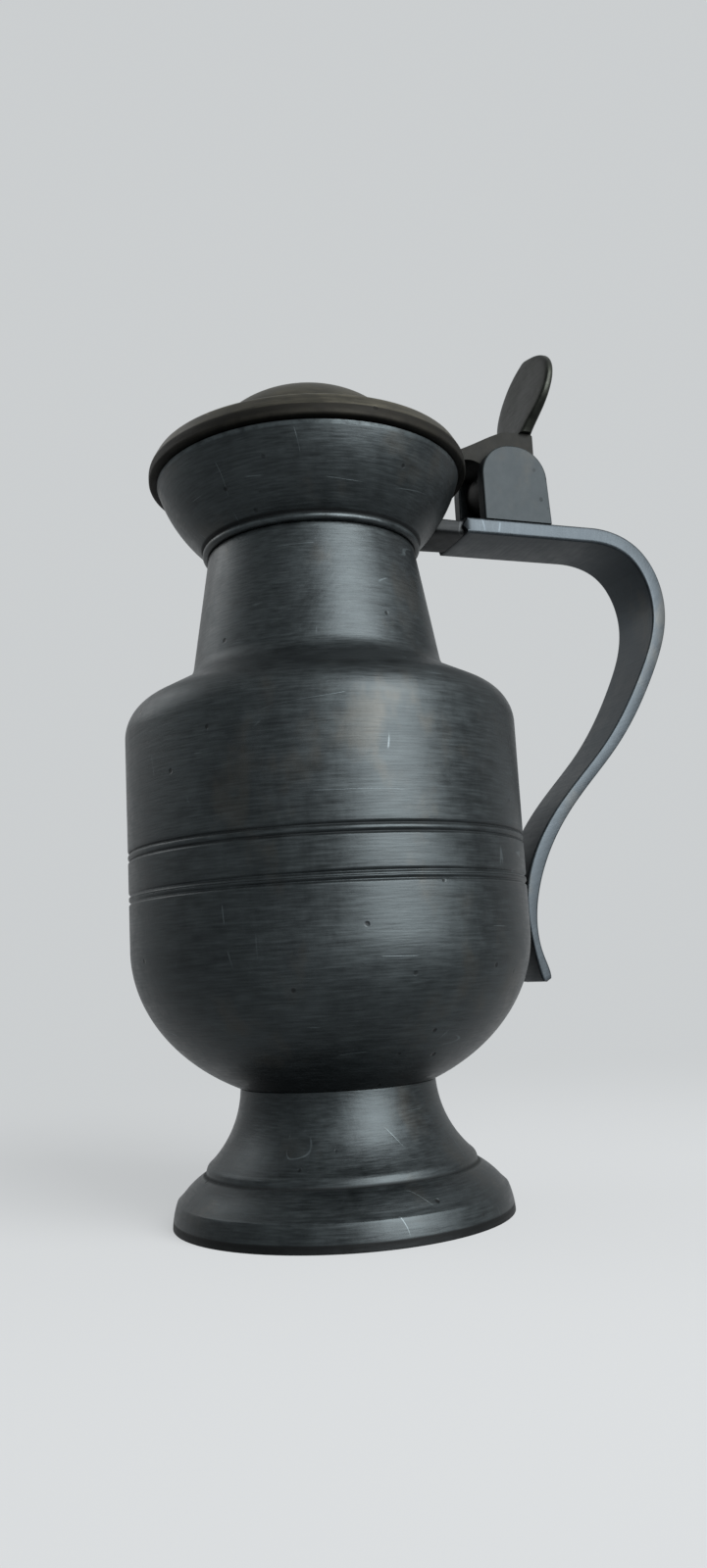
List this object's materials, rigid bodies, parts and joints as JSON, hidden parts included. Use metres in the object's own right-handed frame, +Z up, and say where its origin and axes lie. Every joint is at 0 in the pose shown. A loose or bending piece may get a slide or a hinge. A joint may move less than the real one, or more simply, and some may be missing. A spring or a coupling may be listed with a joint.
{
  "type": "lidded pewter jug",
  "caption": "Small turned jug on a spreading foot, with a flat strap handle and a domed lid hinged over the handle, with a rounded leaf thumbpiece.",
  "frame": {"origin": "on the jug's turning axis, in the plane that the foot stands on", "axes": "+Z up along the turning axis, +X towards the handle and the hinge, so the mouth's front is at -X"},
  "size_m": [0.092, 0.06, 0.1398],
  "materials": {
    "pewter_body": "dark patinated pewter, turned, satin",
    "pewter_handle": "dark patinated pewter, cast and scraped, satin",
    "pewter_lid": "dark brown-grey patinated pewter, turned, satin",
    "pewter_thumbpiece": "nearly black patinated cast pewter",
    "hinge_pin": "pewter wire, peened"
  },
  "bodies": {
    "jug": {"foot": "pewter_body", "bowl": "pewter_body", "upper_body": "pewter_body", "collar": "pewter_body", "handle": "pewter_handle", "front_hinge_ear": "pewter_handle", "rear_hinge_ear": "pewter_handle", "hinge_pin": "hinge_pin"},
    "lid": {"lid": "pewter_lid", "lid_lever": "pewter_lid", "thumbpiece": "pewter_thumbpiece"}
  },
  "joints": [
    {"name": "lid_hinge", "type": "hinge", "parent": "jug", "child": "lid", "pos_m": [0.0348, 0, 0.1146], "axis": [0, 1, 0], "range_deg": [0, 85]}
  ]
}
